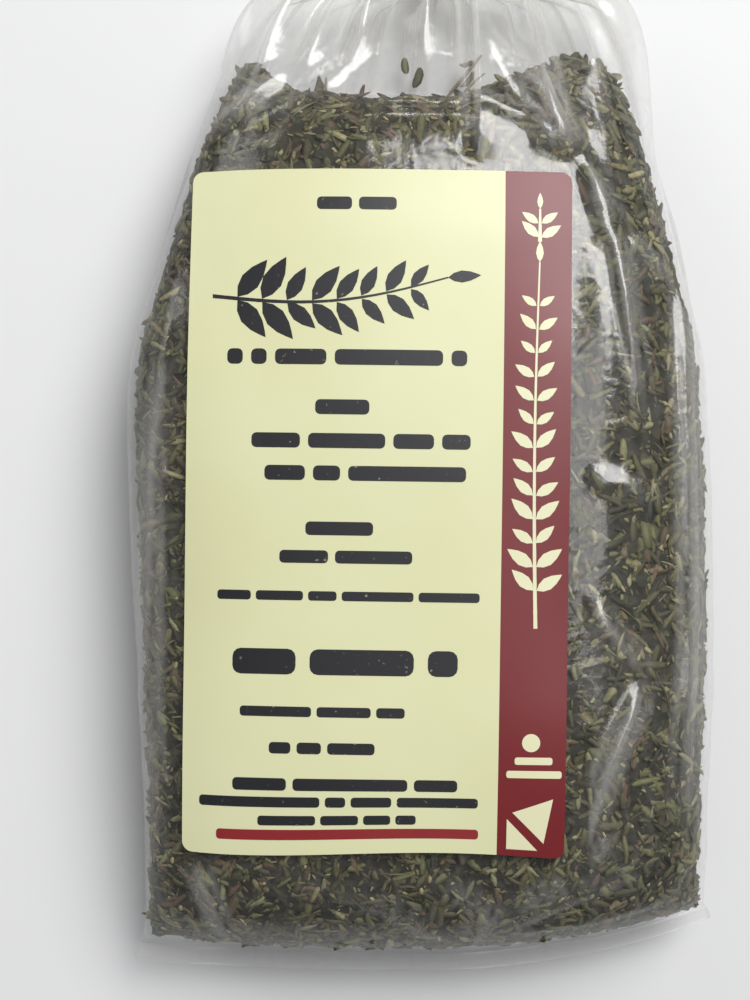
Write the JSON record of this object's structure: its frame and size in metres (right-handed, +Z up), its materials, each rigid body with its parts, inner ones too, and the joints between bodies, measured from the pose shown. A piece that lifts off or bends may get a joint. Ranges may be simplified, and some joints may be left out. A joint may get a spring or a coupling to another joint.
{
  "type": "bag of dried thyme",
  "caption": "Clear film bag filled with dried rubbed thyme, welded at the bottom, gathered and tied at the neck, with a two-colour sticker on its front; lies flat on its back.",
  "frame": {"origin": "middle of the whole bag's footprint, on the surface that it lies on", "axes": "+X towards the label's right side, +Y from the welded bottom seam to the open mouth, +Z up, out of the label's face"},
  "size_m": [0.092, 0.21, 0.0315],
  "materials": {
    "film": "clear polypropylene film, high gloss, creased",
    "thyme": "matte dried leaf",
    "stalk": "matte dried stem",
    "label": "satin coated sticker, cream with a dark red band",
    "tie": "plastic twist-tie ribbon over a wire"
  },
  "bodies": {
    "root": {"bag_film": "film", "thyme_fill": "thyme", "label": "label", "twist_tie": "tie", "thyme_leaf_01": "thyme", "thyme_leaf_02": "thyme", "thyme_leaf_03": "thyme", "thyme_leaf_04": "thyme", "thyme_leaf_05": "thyme", "thyme_leaf_06": "thyme", "thyme_leaf_07": "thyme", "thyme_leaf_08": "thyme", "thyme_leaf_09": "thyme", "thyme_leaf_10": "thyme", "thyme_leaf_11": "thyme", "thyme_leaf_12": "thyme", "thyme_leaf_13": "thyme", "thyme_leaf_14": "thyme", "thyme_stalk_01": "stalk", "thyme_stalk_02": "stalk", "thyme_stalk_03": "stalk", "thyme_stalk_04": "stalk"}
  },
  "joints": []
}
